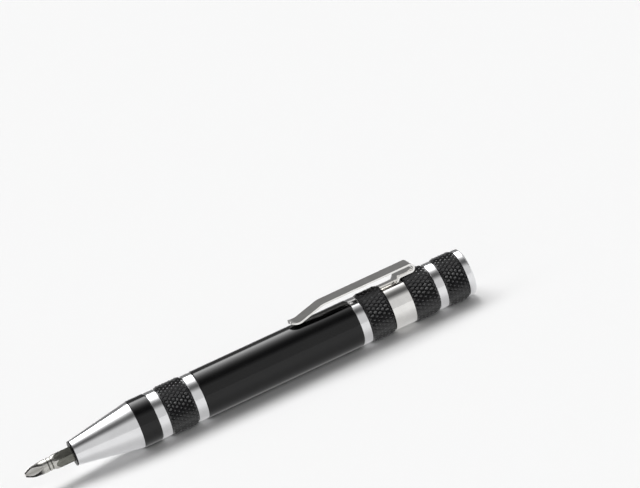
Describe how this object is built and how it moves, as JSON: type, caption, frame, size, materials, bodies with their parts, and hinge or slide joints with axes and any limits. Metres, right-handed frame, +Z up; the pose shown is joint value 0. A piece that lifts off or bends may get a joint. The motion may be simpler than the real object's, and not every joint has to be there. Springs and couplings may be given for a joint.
{
  "type": "pocket screwdriver",
  "caption": "Pen-sized screwdriver: turned aluminium handle with knurled grips, sprung pocket clip, magnetic hexagon bit socket and an end cap that unscrews over spare bits.",
  "frame": {"origin": "on the surface that the handle lies on, midway between the bit's tip and the end of the cap", "axes": "+X along the axis from the tip to the cap, +Z up towards the clip"},
  "size_m": [0.1288, 0.0134, 0.016],
  "materials": {
    "bright_aluminium": "turned and polished",
    "black_anodised": "black anodised, satin gloss",
    "clip_steel": "polished and plated",
    "bit_steel": "gunmetal, satin",
    "socket_steel": "blackened",
    "magnet_nickel": "nickel plated",
    "magazine_nylon": "moulded, matt",
    "seal_rubber": "smooth"
  },
  "bodies": {
    "handle": {"bit_socket": "socket_steel", "socket_magnet": "magnet_nickel", "nose_cone": "bright_aluminium", "front_collar": "black_anodised", "front_ring": "bright_aluminium", "finger_grip": "black_anodised", "grip_ring": "bright_aluminium", "barrel": "black_anodised", "middle_ring": "bright_aluminium", "rear_front_grip": "black_anodised", "clip_band": "clip_steel", "rear_back_grip": "black_anodised", "lock_ring": "bright_aluminium", "bit_magazine": "magazine_nylon", "spare_wide_slotted_bit": "bit_steel", "spare_large_star_bit": "bit_steel", "spare_medium_cross_bit": "bit_steel", "spare_narrow_slotted_bit": "bit_steel", "spare_small_star_bit": "bit_steel", "spare_small_cross_bit": "bit_steel"},
    "bit": {"driver_bit": "bit_steel"},
    "clip": {"clip_arm": "clip_steel"},
    "seal": {"cap_seal": "seal_rubber"},
    "cap": {"cap_grip": "black_anodised", "cap_plug": "bright_aluminium"}
  },
  "joints": [
    {"name": "bit_pull", "type": "slide", "parent": "handle", "child": "bit", "axis": [-1, 0, 0], "range_m": [0, 0.02]},
    {"name": "clip_flex", "type": "hinge", "parent": "handle", "child": "clip", "pos_m": [0.04967, 0, 0.01376], "axis": [0, 1, 0], "range_deg": [0, 5], "stiffness_Nm_per_rad": 0.9},
    {"name": "cap_travel", "type": "slide", "parent": "handle", "child": "seal", "axis": [1, 0, 0], "range_m": [0, 0.0065]},
    {"name": "cap_turn", "type": "hinge", "parent": "seal", "child": "cap", "pos_m": [0.05622, 0, 0.0067], "axis": [1, 0, 0], "range_deg": [0, 2340]}
  ],
  "couplings": [
    {"joint": "cap_travel", "follows": "cap_turn", "m_per_rad": 0.00015915}
  ]
}
